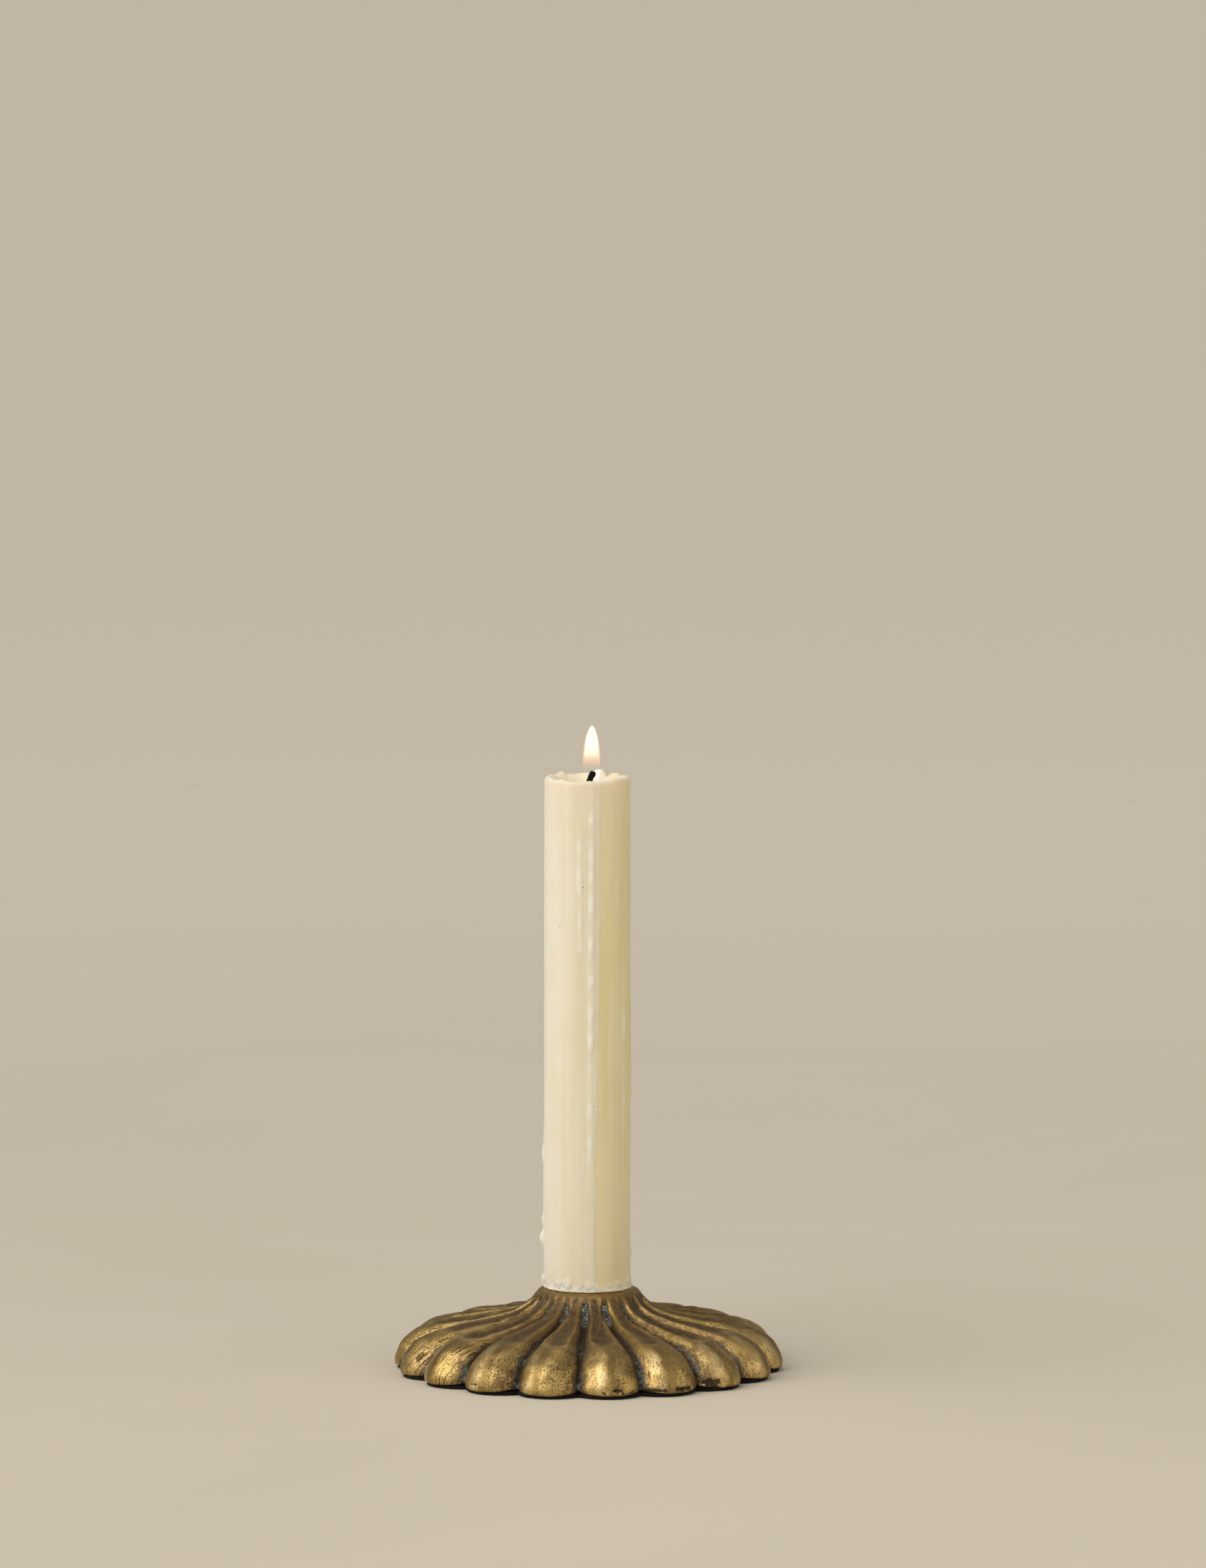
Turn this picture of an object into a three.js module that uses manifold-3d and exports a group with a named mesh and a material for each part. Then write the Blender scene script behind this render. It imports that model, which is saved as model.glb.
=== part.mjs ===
// Pillar candle holder: a low, fluted, cast brass base on a felt pad, with a lit candle on its pricket.
// Millimetres, +Z up. The origin is under the centre of the felt, on the surface that the holder stands on.
import * as THREE from 'three';
import { mergeVertices } from 'three/addons/utils/BufferGeometryUtils.js';
import Module from 'manifold-3d';

const wasm = await Module();
wasm.setup();

// Driving dimensions
const LOBES = 18; // flutes round the base, with a valley facing -Y
const LOBE_STEPS = 6; // facets across one lobe
const BASE_RADIUS = 85.5; // over the crests of the lobes
const LOBE_ARC_RADIUS = 15.7; // radius of one lobe's rounded outline
const BASE_HEIGHT = 34.1; // from the casting's bottom edge to its seat
const SEAT_RADIUS = 20;
const SEAT_EDGE = 0.4; // chamfer round the seat
const FELT_THICKNESS = 1.8;
const FELT_INSET = 1.2;
const CLEARANCE = 0.3; // between pieces that touch
const GLUE = 0.2; // between the felt and the casting

const PLATE_RADIUS = 74;
const PLATE_THICKNESS = 2;
const SCREW_COUNT = 3;
const SCREW_CIRCLE = 50; // radius of the circle that the screws stand on
const SCREW_RADIUS = 2;
const SCREW_HEAD_RADIUS = 3.6;
const SCREW_HEAD_HEIGHT = 1.7;
const SCREW_LENGTH = 10;
const SCREW_SINK = 0.2; // how far the head lies below the plate's face
const SCREW_HEAD_EDGE = 0.2; // straight edge of the head, before its cone
const SCREW_SLOT_WIDTH = 0.9;
const SCREW_SLOT_DEPTH = 0.7;
const TAPPED_DEPTH = 12; // above the casting's bottom edge
const BOSS_RADIUS = 5.5;
const BOSS_TOP = 15.5; // above the casting's bottom edge, inside its wall

const FLANGE_RADIUS = 7;
const FLANGE_THICKNESS = 1.5;
const FLANGE_SINK = 0.1; // how far the flange lies below the seat
const SPIKE_RADIUS = 2.2;
const SPIKE_HEIGHT = 20;
const SPIKE_TIP_RADIUS = 0.5;
const SPIKE_TIP_HEIGHT = 1;
const SHANK_RADIUS = 2.5;
const SHANK_CHAMFER = 0.5;
const SHANK_LENGTH = 15;
const NECK_FLOOR = 5; // brass left under the spike's flange
const WASHER_RADIUS = 5;
const WASHER_THICKNESS = 1;
const SPRING_WASHER_RADIUS = 4.4;
const SPRING_WASHER_THICKNESS = 1.2;
const SPRING_WASHER_GAP = 0.8; // the split in the ring
const NUT_ACROSS_FLATS = 8;
const NUT_THICKNESS = 4;

const CANDLE_RADIUS = 19.05;
const CANDLE_LENGTH = 225.3;
const CANDLE_SIDES = 32;
const RIM_ROUNDING = 1.4;
const RIM_CORNER = 0.4; // of the rounding's middle, in from the candle's full size
const WELL_RADIUS = 14; // mouth of the melted well
const WELL_CHAMFER = 1;
const WELL_TAPER = 3; // how much narrower its floor is
const WELL_DEPTH = 6;
const POOL_DEPTH = 2;
const SPIKE_HOLE_FOOT_RADIUS = 2.6;
const SPIKE_HOLE_TIP_RADIUS = 0.9;
const WICK_RADIUS = 1.3;
const WICK_STEM_RADIUS = 1.2; // as moulded into the wax
const WICK_FOOT = 5; // wax between the spike's tip and the wick
const WICK_TIP_RISE = 2; // above the candle's rim
const WICK_LEAN = 1.7;
const FLAME_RADIUS = 3.85;
const FLAME_HEIGHT = 20.1;
const FLAME_GAP = 0.8; // from the middle of the wick's tip to the flame
const FLAME_OFFSET = 1.4; // the flame stands over the leaning wick

// Heights worked out from them
const CASTING_Z = FELT_THICKNESS + GLUE;
const SEAT_Z = CASTING_Z + BASE_HEIGHT;
const FLANGE_TOP_Z = SEAT_Z - FLANGE_SINK;
const NECK_FLOOR_TOP_Z = FLANGE_TOP_Z - FLANGE_THICKNESS - CLEARANCE;
const NECK_FLOOR_BOTTOM_Z = NECK_FLOOR_TOP_Z - NECK_FLOOR;
const CANDLE_Z = SEAT_Z + CLEARANCE;
const REBATE_DEPTH = PLATE_THICKNESS + CLEARANCE;

// Side profiles of the casting as [radius, height above its bottom edge], from the bottom edge to the
// neck. Both have the same number of points, so that a point of one answers a point of the other.
const CREST_PROFILE = [
  [85.2, 0], [BASE_RADIUS, 2.2], [84.7, 5.2], [83, 9], [80, 12.4], [75.8, 15.3], [70.5, 17.3], [62, 18.9],
  [50, 20.7], [40, 22.5], [32.5, 24.7], [27.6, 27.2], [25.2, 29.2], [23.5, 31.3], [21.9, 33.2],
  [SEAT_RADIUS, 33.8],
];
const VALLEY_PROFILE = [
  [78.1, 0], [78.2, 1.7], [77.6, 2.9], [76.3, 5], [74.2, 7.7], [71.4, 10.4], [67.5, 12.9], [60, 15.3],
  [48, 17.6], [38.5, 19.6], [31, 21.9], [26.2, 24.9], [24.3, 27.9], [23.4, 31.2], [21.9, 33.2],
  [SEAT_RADIUS, 33.8],
];
const PROFILE_STEPS = 20;
// The hollow under the casting, from its mouth to the underside of the neck.
const HOLLOW_PROFILE = [
  [71.3, REBATE_DEPTH], [70.8, 5.4], [67.5, 9], [60, 12.2], [46, 14.2], [28, 18.2], [20, 22.6],
];
const NECK_FLAT_RADIUS = 13; // flat under the neck, where the washer bears

const brass = { color: 0xa8853f, roughness: 0.42, metalness: 1 };
const steel = { color: 0xb4b6b8, roughness: 0.35, metalness: 1 };
const felt = { color: 0x14130f, roughness: 1, metalness: 0 };
const wax = { color: 0xe4d5a8, roughness: 0.45, metalness: 0 };
const moltenWax = { color: 0xe9d9a2, roughness: 0.15, metalness: 0 };
const cotton = { color: 0x1d1814, roughness: 1, metalness: 0 };
const glow = { color: 0xffe6a8, roughness: 1, metalness: 0, emissive: 0xffc860 };

const candleHolder = new THREE.Group();

function addPiece(name, geometry, finish, parent = candleHolder) {
  const piece = new THREE.Mesh(geometry, new THREE.MeshStandardMaterial(finish));
  piece.name = name;
  parent.add(piece);
  return piece;
}

// Closed geometry to a solid for joining and cutting.
function solidOf(geometry) {
  const bare = geometry.clone();
  bare.deleteAttribute('normal');
  bare.deleteAttribute('uv');
  const merged = mergeVertices(bare, 1e-4);
  const corners = merged.index.array;
  const triangles = [];
  for (let first = 0; first < corners.length; first += 3) {
    const [a, b, c] = corners.slice(first, first + 3);
    if (a !== b && b !== c && c !== a) {
      triangles.push(a, b, c);
    }
  }
  return new wasm.Manifold(new wasm.Mesh({
    numProp: 3,
    vertProperties: new Float32Array(merged.attributes.position.array),
    triVerts: new Uint32Array(triangles),
  }));
}

function geometryOf(solid) {
  const mesh = solid.getMesh();
  const geometry = new THREE.BufferGeometry();
  geometry.setAttribute('position', new THREE.BufferAttribute(mesh.vertProperties, mesh.numProp));
  geometry.setIndex(new THREE.BufferAttribute(mesh.triVerts, 1));
  geometry.computeVertexNormals();
  return geometry;
}

// A profile of [radius, height] pairs, listed upwards round the solid, turned about Z.
function turned(profile, sides) {
  const points = profile.map(([radius, height]) => new THREE.Vector2(radius, height));
  return new THREE.LatheGeometry(points, sides).rotateX(Math.PI / 2);
}

// An upright cylinder or cone between two heights.
function upright(bottomRadius, topRadius, bottom, top, sides = 24) {
  return turned([[0, bottom], [bottomRadius, bottom], [topRadius, top], [0, top]], sides);
}

// A flat ring between two heights.
function ring(innerRadius, outerRadius, bottom, top, sides = 24) {
  return turned([
    [innerRadius, bottom], [outerRadius, bottom], [outerRadius, top], [innerRadius, top],
    [innerRadius, bottom],
  ], sides);
}

// Radius of the scalloped outline at an angle from a lobe's centre: an arc about a centre of its own.
function lobeRadius(angle) {
  const arcCentre = BASE_RADIUS - LOBE_ARC_RADIUS;
  const across = arcCentre * Math.sin(angle);
  return arcCentre * Math.cos(angle) + Math.sqrt(LOBE_ARC_RADIUS ** 2 - across ** 2);
}

// 0 in a valley and 1 on a crest, by the number of lobes turned from the valley at -Y.
function lobeWeight(lobesTurned) {
  const pitch = (2 * Math.PI) / LOBES;
  const fromCrest = (lobesTurned - Math.floor(lobesTurned) - 0.5) * pitch;
  const valleyRadius = lobeRadius(pitch / 2);
  return (lobeRadius(fromCrest) - valleyRadius) / (BASE_RADIUS - valleyRadius);
}

function splinePoints(profile) {
  const curve = new THREE.SplineCurve(profile.map(([x, y]) => new THREE.Vector2(x, y)));
  return curve.getPoints(PROFILE_STEPS);
}

// The fluted outside: each column of the turned crest profile moves in towards the valley profile.
function flutedBody() {
  const seatRim = SEAT_RADIUS - SEAT_EDGE;
  const closing = [new THREE.Vector2(seatRim, BASE_HEIGHT), new THREE.Vector2(0, BASE_HEIGHT)];
  const foot = new THREE.Vector2(0, 0);
  const crest = [foot, ...splinePoints(CREST_PROFILE), ...closing];
  const valley = [foot, ...splinePoints(VALLEY_PROFILE), ...closing];
  const columns = LOBES * LOBE_STEPS;
  const geometry = new THREE.LatheGeometry(crest, columns);
  const position = geometry.attributes.position;
  for (let index = 0; index < position.count; index += 1) {
    const row = index % crest.length;
    const column = Math.floor(index / crest.length) % columns;
    const point = valley[row].clone().lerp(crest[row], lobeWeight(column / LOBE_STEPS));
    const turn = (column / columns) * 2 * Math.PI;
    position.setXYZ(index, point.x * Math.sin(turn), point.y, point.x * Math.cos(turn));
  }
  return geometry.rotateX(Math.PI / 2).translate(0, 0, CASTING_Z);
}

// The hollow under the casting, with a rebate at its mouth for the plate.
function hollowBody() {
  const neckTop = NECK_FLOOR_BOTTOM_Z - CASTING_Z;
  const rebateRadius = PLATE_RADIUS + CLEARANCE;
  const profile = [
    [0, -1], [rebateRadius, -1], [rebateRadius, REBATE_DEPTH],
    ...HOLLOW_PROFILE, [NECK_FLAT_RADIUS, neckTop], [0, neckTop],
  ];
  return turned(profile, 72).translate(0, 0, CASTING_Z);
}

function screwPlaces() {
  return Array.from({ length: SCREW_COUNT }, (_, number) => {
    const angle = (number / SCREW_COUNT) * 2 * Math.PI + Math.PI / 2;
    return [SCREW_CIRCLE * Math.cos(angle), SCREW_CIRCLE * Math.sin(angle)];
  });
}

function baseCasting() {
  let casting = solidOf(flutedBody()).subtract(solidOf(hollowBody()));
  const screwHole = SCREW_RADIUS + CLEARANCE;
  for (const [x, y] of screwPlaces()) {
    const boss = upright(BOSS_RADIUS, BOSS_RADIUS, REBATE_DEPTH, BOSS_TOP, 20);
    const tapped = upright(screwHole, screwHole, 1, TAPPED_DEPTH, 16);
    casting = casting.add(solidOf(boss.translate(x, y, CASTING_Z)));
    casting = casting.subtract(solidOf(tapped.translate(x, y, CASTING_Z)));
  }
  const flangeHole = FLANGE_RADIUS + CLEARANCE;
  const shankHole = SHANK_RADIUS + CLEARANCE;
  const flangeRecess = upright(flangeHole, flangeHole, NECK_FLOOR_TOP_Z, SEAT_Z + 1, 32);
  const throughNeck = upright(shankHole, shankHole, NECK_FLOOR_BOTTOM_Z - 1, SEAT_Z);
  casting = casting.subtract(solidOf(flangeRecess)).subtract(solidOf(throughNeck));
  addPiece('base_casting', geometryOf(casting), brass);
}

function feltPad() {
  const outline = new THREE.Shape();
  const columns = LOBES * LOBE_STEPS;
  for (let column = 0; column < columns; column += 1) {
    const lobesTurned = column / LOBE_STEPS;
    const fromCrest = (lobesTurned - Math.floor(lobesTurned) - 0.5) * ((2 * Math.PI) / LOBES);
    const radius = lobeRadius(fromCrest) - FELT_INSET;
    const turn = (column / columns) * 2 * Math.PI - Math.PI / 2;
    const place = [radius * Math.cos(turn), radius * Math.sin(turn)];
    if (column === 0) {
      outline.moveTo(...place);
    } else {
      outline.lineTo(...place);
    }
  }
  outline.closePath();
  const pad = new THREE.ExtrudeGeometry(outline, { depth: FELT_THICKNESS, bevelEnabled: false });
  addPiece('felt_pad', pad, felt);
}

// A countersunk head's cone and the shank above it, both wider by a margin where they cut a hole.
function countersunk(margin, shankTop) {
  return turned([
    [0, SCREW_SINK - margin], [SCREW_HEAD_RADIUS + margin, SCREW_SINK - margin],
    [SCREW_HEAD_RADIUS + margin, SCREW_SINK + SCREW_HEAD_EDGE],
    [SCREW_RADIUS + margin, SCREW_SINK + SCREW_HEAD_HEIGHT],
    [SCREW_RADIUS + margin, shankTop], [0, shankTop],
  ], 20);
}

function bottomPlate() {
  let plate = solidOf(upright(PLATE_RADIUS, PLATE_RADIUS, 0, PLATE_THICKNESS, 72));
  for (const [x, y] of screwPlaces()) {
    plate = plate.subtract(solidOf(countersunk(CLEARANCE, PLATE_THICKNESS + 1).translate(x, y, 0)));
  }
  addPiece('bottom_plate', geometryOf(plate), steel).position.z = CASTING_Z;
}

function plateScrews() {
  const slotLength = 2 * SCREW_HEAD_RADIUS + 1;
  const slot = new THREE.BoxGeometry(slotLength, SCREW_SLOT_WIDTH, 2 * SCREW_SLOT_DEPTH);
  slot.translate(0, 0, SCREW_SINK);
  const screw = geometryOf(solidOf(countersunk(0, SCREW_SINK + SCREW_LENGTH)).subtract(solidOf(slot)));
  screwPlaces().forEach(([x, y], number) => {
    addPiece(`plate_screw_${number + 1}`, screw, steel).position.set(x, y, CASTING_Z);
  });
}

// The pricket: a spike on a flange, with a threaded shank through the neck's floor.
function pricketSpike() {
  const shoulder = -FLANGE_THICKNESS;
  const shankEnd = shoulder - SHANK_LENGTH;
  const spike = turned([
    [0, shankEnd], [SHANK_RADIUS - SHANK_CHAMFER, shankEnd], [SHANK_RADIUS, shankEnd + SHANK_CHAMFER],
    [SHANK_RADIUS, shoulder], [FLANGE_RADIUS, shoulder], [FLANGE_RADIUS, 0], [SPIKE_RADIUS, 0],
    [SPIKE_TIP_RADIUS, SPIKE_HEIGHT - SPIKE_TIP_HEIGHT], [0, SPIKE_HEIGHT],
  ], 24);
  addPiece('pricket_spike', spike, steel).position.z = FLANGE_TOP_Z;
}

// Washer, split spring washer and nut, stacked down the shank under the neck's floor.
function spikeFasteners() {
  const holeRadius = SHANK_RADIUS + CLEARANCE;
  const washerZ = NECK_FLOOR_BOTTOM_Z - GLUE - WASHER_THICKNESS;
  const washer = ring(holeRadius, WASHER_RADIUS, 0, WASHER_THICKNESS);
  addPiece('spike_washer', washer, steel).position.z = washerZ;

  const springZ = washerZ - GLUE - SPRING_WASHER_THICKNESS;
  const cutHeight = 2 * SPRING_WASHER_THICKNESS + 1;
  const split = new THREE.BoxGeometry(SPRING_WASHER_RADIUS, SPRING_WASHER_GAP, cutHeight);
  split.translate(SPRING_WASHER_RADIUS / 2 + 1, 0, 0);
  const fullRing = ring(holeRadius, SPRING_WASHER_RADIUS, 0, SPRING_WASHER_THICKNESS);
  const springWasher = geometryOf(solidOf(fullRing).subtract(solidOf(split)));
  addPiece('spike_spring_washer', springWasher, steel).position.z = springZ;

  const nutZ = springZ - GLUE - NUT_THICKNESS;
  const cornerRadius = NUT_ACROSS_FLATS / Math.sqrt(3);
  const bore = upright(holeRadius, holeRadius, -1, NUT_THICKNESS + 1);
  const hexagon = upright(cornerRadius, cornerRadius, 0, NUT_THICKNESS, 6);
  const nut = geometryOf(solidOf(hexagon).subtract(solidOf(bore)));
  addPiece('spike_nut', nut, steel).position.z = nutZ;
}

// The candle's pieces stand on the seat and lift off together.
const candle = new THREE.Group();
candle.position.z = CANDLE_Z;
candleHolder.add(candle);

const WELL_FLOOR = CANDLE_LENGTH - WELL_DEPTH; // above the candle's foot
const WELL_FLOOR_RADIUS = WELL_RADIUS - WELL_TAPER;
const WICK_BORE = WICK_RADIUS + CLEARANCE;
const WICK_START = SPIKE_HEIGHT + WICK_FOOT;

function candleWax() {
  const column = turned([
    [0, 0], [CANDLE_RADIUS, 0],
    [CANDLE_RADIUS, CANDLE_LENGTH - RIM_ROUNDING],
    [CANDLE_RADIUS - RIM_CORNER, CANDLE_LENGTH - RIM_CORNER],
    [CANDLE_RADIUS - RIM_ROUNDING, CANDLE_LENGTH], [WELL_RADIUS + WELL_CHAMFER, CANDLE_LENGTH],
    [WELL_RADIUS, CANDLE_LENGTH - WELL_CHAMFER], [WELL_FLOOR_RADIUS, WELL_FLOOR], [0, WELL_FLOOR],
  ], CANDLE_SIDES);
  const spikeBore = upright(SPIKE_HOLE_FOOT_RADIUS, SPIKE_HOLE_TIP_RADIUS, -1, SPIKE_HEIGHT + 1);
  const wickBore = upright(WICK_BORE, WICK_BORE, WICK_START - CLEARANCE, CANDLE_LENGTH, 16);
  const body = solidOf(column).subtract(solidOf(spikeBore)).subtract(solidOf(wickBore));
  addPiece('candle_wax', geometryOf(body), wax, candle);
}

function waxPool() {
  const floor = WELL_FLOOR + CLEARANCE;
  const surface = floor + POOL_DEPTH;
  const slope = WELL_TAPER / (WELL_DEPTH - WELL_CHAMFER);
  const wallRadius = (height) => WELL_FLOOR_RADIUS + slope * (height - WELL_FLOOR) - 2 * CLEARANCE;
  const pool = turned([
    [WICK_BORE, floor], [wallRadius(floor), floor], [wallRadius(surface), surface],
    [WICK_BORE, surface], [WICK_BORE, floor],
  ], CANDLE_SIDES);
  addPiece('wax_pool', pool, moltenWax, candle);
}

// Straight up the middle of the candle, then leaning to +X over the pool.
function candleWick() {
  const tip = CANDLE_LENGTH + WICK_TIP_RISE;
  const path = new THREE.CatmullRomCurve3([
    new THREE.Vector3(0, 0, WICK_START),
    new THREE.Vector3(0, 0, (WICK_START + WELL_FLOOR) / 2),
    new THREE.Vector3(0, 0, WELL_FLOOR - 1),
    new THREE.Vector3(0, 0, WELL_FLOOR + POOL_DEPTH),
    new THREE.Vector3(0.4 * WICK_LEAN, 0, CANDLE_LENGTH - 0.5),
    new THREE.Vector3(WICK_LEAN, 0, tip),
  ], false, 'centripetal');
  const section = new THREE.Shape().absarc(0, 0, WICK_STEM_RADIUS, 0, 2 * Math.PI);
  const wick = new THREE.ExtrudeGeometry(section, { steps: 48, curveSegments: 4, extrudePath: path });
  addPiece('candle_wick', wick, cotton, candle);
}

// The flame's outline as shares of its radius and height, from foot to tip.
const FLAME_OUTLINE = [[0, 0], [0.6, 0.07], [1, 0.36], [0.52, 0.77], [0, 1]];
const FLAME_STEPS = 12;

function flameBody() {
  const outline = new THREE.SplineCurve(
    FLAME_OUTLINE.map(([across, up]) => new THREE.Vector2(across * FLAME_RADIUS, up * FLAME_HEIGHT)),
  ).getPoints(FLAME_STEPS);
  outline[0].x = 0;
  outline[FLAME_STEPS].x = 0;
  const flame = new THREE.LatheGeometry(outline, 16).rotateX(Math.PI / 2);
  const foot = CANDLE_LENGTH + WICK_TIP_RISE + FLAME_GAP;
  addPiece('flame', flame, glow, candle).position.set(FLAME_OFFSET, 0, foot);
}

baseCasting();
feltPad();
bottomPlate();
plateScrews();
pricketSpike();
spikeFasteners();
candleWax();
waxPool();
candleWick();
flameBody();

export default candleHolder;
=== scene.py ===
"""Looks of the pillar candle holder: fluted antique brass on a felt pad, with a lit, dripped candle.

Metres, +Z up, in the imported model's own frame. Angles round the holder start at -Y, in a valley of the
flutes, and grow towards +X.
"""

import itertools
import math

import bpy
import numpy as np
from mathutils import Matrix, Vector


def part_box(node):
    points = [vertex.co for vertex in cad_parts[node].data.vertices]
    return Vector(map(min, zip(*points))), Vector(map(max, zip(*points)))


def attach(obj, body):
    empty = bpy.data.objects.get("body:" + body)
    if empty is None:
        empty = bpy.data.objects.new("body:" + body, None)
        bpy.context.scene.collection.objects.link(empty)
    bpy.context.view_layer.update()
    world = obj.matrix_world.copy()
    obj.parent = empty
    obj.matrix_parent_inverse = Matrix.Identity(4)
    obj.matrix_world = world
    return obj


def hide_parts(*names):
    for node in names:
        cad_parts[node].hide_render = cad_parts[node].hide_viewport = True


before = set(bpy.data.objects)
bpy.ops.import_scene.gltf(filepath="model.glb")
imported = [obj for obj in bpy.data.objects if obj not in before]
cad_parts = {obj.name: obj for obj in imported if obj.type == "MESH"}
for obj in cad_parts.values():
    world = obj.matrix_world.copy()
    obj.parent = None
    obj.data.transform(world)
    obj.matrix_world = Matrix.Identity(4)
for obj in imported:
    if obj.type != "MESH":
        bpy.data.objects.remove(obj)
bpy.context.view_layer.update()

MM = 0.001
BASE_LOW, BASE_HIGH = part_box("base_casting")
FELT_LOW, FELT_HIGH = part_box("felt_pad")
WAX_LOW, WAX_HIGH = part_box("candle_wax")
_, SPIKE_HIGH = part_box("pricket_spike")
WICK_LOW, WICK_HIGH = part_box("candle_wick")
POOL_LOW, POOL_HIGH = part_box("wax_pool")
FLAME_LOW, FLAME_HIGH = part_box("flame")

BASE_RADIUS = BASE_HIGH.x
CASTING_Z = BASE_LOW.z
SEAT_Z = BASE_HIGH.z
CANDLE_RADIUS = WAX_HIGH.x
RIM_Z = WAX_HIGH.z

FLANGE_GAP = 0.3 * MM  # round the spike's flange, in its recess
SHANK_HOLE = 2.8 * MM  # radius of the hole for the spike's shank
FLANGE_RECESS = 1.9 * MM  # depth of the recess for the spike's flange
NECK_FLOOR = 5 * MM  # brass under that recess

# The fluting, as the casting has it
LOBES = 18
LOBE_ARC_RADIUS = 15.7 * MM
# Side profiles as (radius, height above the casting's bottom edge) in millimetres, from neck to foot.
# Points of the same rank face each other.
CREST_PROFILE = [
    (20, 33.8), (21.9, 33.2), (23.5, 31.3), (25.2, 29.2), (27.6, 27.2), (32.5, 24.7), (40, 22.5),
    (50, 20.7), (62, 18.9), (70.5, 17.3), (75.8, 15.3), (80, 12.4), (83, 9.0), (84.7, 5.2), (85.5, 2.2),
    (85.4, 0.2), (85.1, -0.45), (84.8, -0.45), (84.7, 0.0),
]
VALLEY_PROFILE = [
    (20, 33.8), (21.9, 33.2), (23.4, 31.2), (24.3, 27.9), (26.2, 24.9), (31, 21.9), (38.5, 19.6),
    (48, 17.6), (60, 15.3), (67.5, 12.9), (71.4, 10.4), (74.2, 7.7), (76.3, 5.0), (77.6, 2.9), (78.2, 1.7),
    (78.1, 1.1), (77.9, 0.9), (77.6, 0.8), (77.4, 0.8),
]
# From the casting's lower edge, over the step for the bottom plate and up to the underside of the neck
HOLLOW_PROFILE = [
    (74.3, 0), (74.3, 2.3), (71.3, 2.3), (67.5, 9), (60, 12.2), (46, 14.2), (28, 18.2), (20, 22.6),
]
NECK_FLAT = 13 * MM  # radius of the flat under the neck
COLUMNS_PER_LOBE = 40
OUTER_ROWS = 118
FRONT_POCKETS = slice(8, 12)  # the valleys at the front whose pockets show most

# Chips in the lower edge: (degrees round, then height, half width, half height and depth in mm)
EDGE_CHIPS = [
    (44.1, 1.6, 4.4, 2.1, 1.3), (32.5, 1.2, 5.0, 1.1, 0.7), (24.5, 1.0, 5.4, 0.9, 0.5),
    (11.8, 2.0, 2.7, 0.9, 0.8), (7.9, 0.9, 1.7, 0.6, 0.6), (15.0, 0.8, 4.2, 0.5, 0.5),
    (-6.6, 2.4, 0.9, 0.7, 0.5), (-32.3, 2.2, 2.9, 0.6, 0.6), (120, 1.2, 3.2, 1.0, 0.7),
    (163, 1.0, 2.2, 0.8, 0.6), (-98, 1.3, 3.6, 1.2, 0.8), (-141, 0.9, 2.4, 0.7, 0.5),
]


# ---------------------------------------------------------------- numbers

def smoothstep(low, high, value):
    """From 0 at low to 1 at high, level at both ends."""
    share = np.clip((value - low) / (high - low), 0, 1)
    return share * share * (3 - 2 * share)


def bump(value, centre, width):
    """A smooth hump of height 1 and about that half width."""
    return np.exp(-(((value - centre) / width) ** 2))


def noise(points, size, seed):
    """Smooth noise from -1 to 1 with features of that size, for an array of points."""
    scaled = points / size + seed * 7.31
    cell = np.floor(scaled)
    inside = scaled - cell
    inside = inside * inside * (3 - 2 * inside)
    cell = cell.astype(np.int64)
    total = np.zeros(points.shape[:-1])
    for corner in itertools.product((0, 1), repeat=3):
        n = cell + np.array(corner)
        mixed = n[..., 0] * 374761393 + n[..., 1] * 668265263 + n[..., 2] * 1442695041 + seed * 1013
        mixed = (mixed ^ (mixed >> 13)) * 1274126177 & 0xFFFFFFFF
        mixed = (mixed ^ (mixed >> 16)) & 0xFFFFFFFF
        weight = np.prod(np.where(corner, inside, 1 - inside), axis=-1)
        total += weight * (mixed / 0x7FFFFFFF - 1)
    return total


def loop_place(angle, along):
    """Where to take noise from, so that it closes on itself round the object."""
    return np.stack([np.cos(angle), np.sin(angle), along + 0 * angle], axis=-1)


def spline(points, t):
    """A smooth curve through the points, where t counts them."""
    points = np.array(points, float) * MM
    last = len(points) - 1
    t = np.clip(t, 0, last)
    i = np.minimum(t.astype(int), last - 1)
    p0, p1, p2, p3 = (points[np.clip(i + k, 0, last)] for k in (-1, 0, 1, 2))
    f = (t - i)[:, None]
    return 0.5 * (
        2 * p1 + (p2 - p0) * f + (2 * p0 - 5 * p1 + 4 * p2 - p3) * f**2 + (3 * p1 - p0 - 3 * p2 + p3) * f**3
    )


def even_steps(points_of, last, count):
    """Values of t that step evenly along a curve."""
    t = np.linspace(0, last, 3000)
    step = np.linalg.norm(np.diff(points_of(t), axis=0), axis=1)
    length = np.concatenate([[0], np.cumsum(step)])
    return np.interp(np.linspace(0, length[-1], count), length, t)


# ---------------------------------------------------------------- meshes

def make_mesh(name, points, faces, smooth=True, attributes=None):
    """A mesh object, with attributes of one value or one vector for each point."""
    mesh = bpy.data.meshes.new(name)
    mesh.from_pydata([tuple(p) for p in points], [], faces)
    mesh.validate()
    mesh.polygons.foreach_set("use_smooth", [smooth] * len(mesh.polygons))
    for label, values in (attributes or {}).items():
        values = np.asarray(values, np.float32)
        if values.ndim == 2:
            mesh.attributes.new(label, "FLOAT_VECTOR", "POINT").data.foreach_set("vector", values.ravel())
        else:
            mesh.attributes.new(label, "FLOAT", "POINT").data.foreach_set("value", values)
    mesh.update()
    piece = bpy.data.objects.new(name, mesh)
    bpy.context.scene.collection.objects.link(piece)
    return piece


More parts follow.
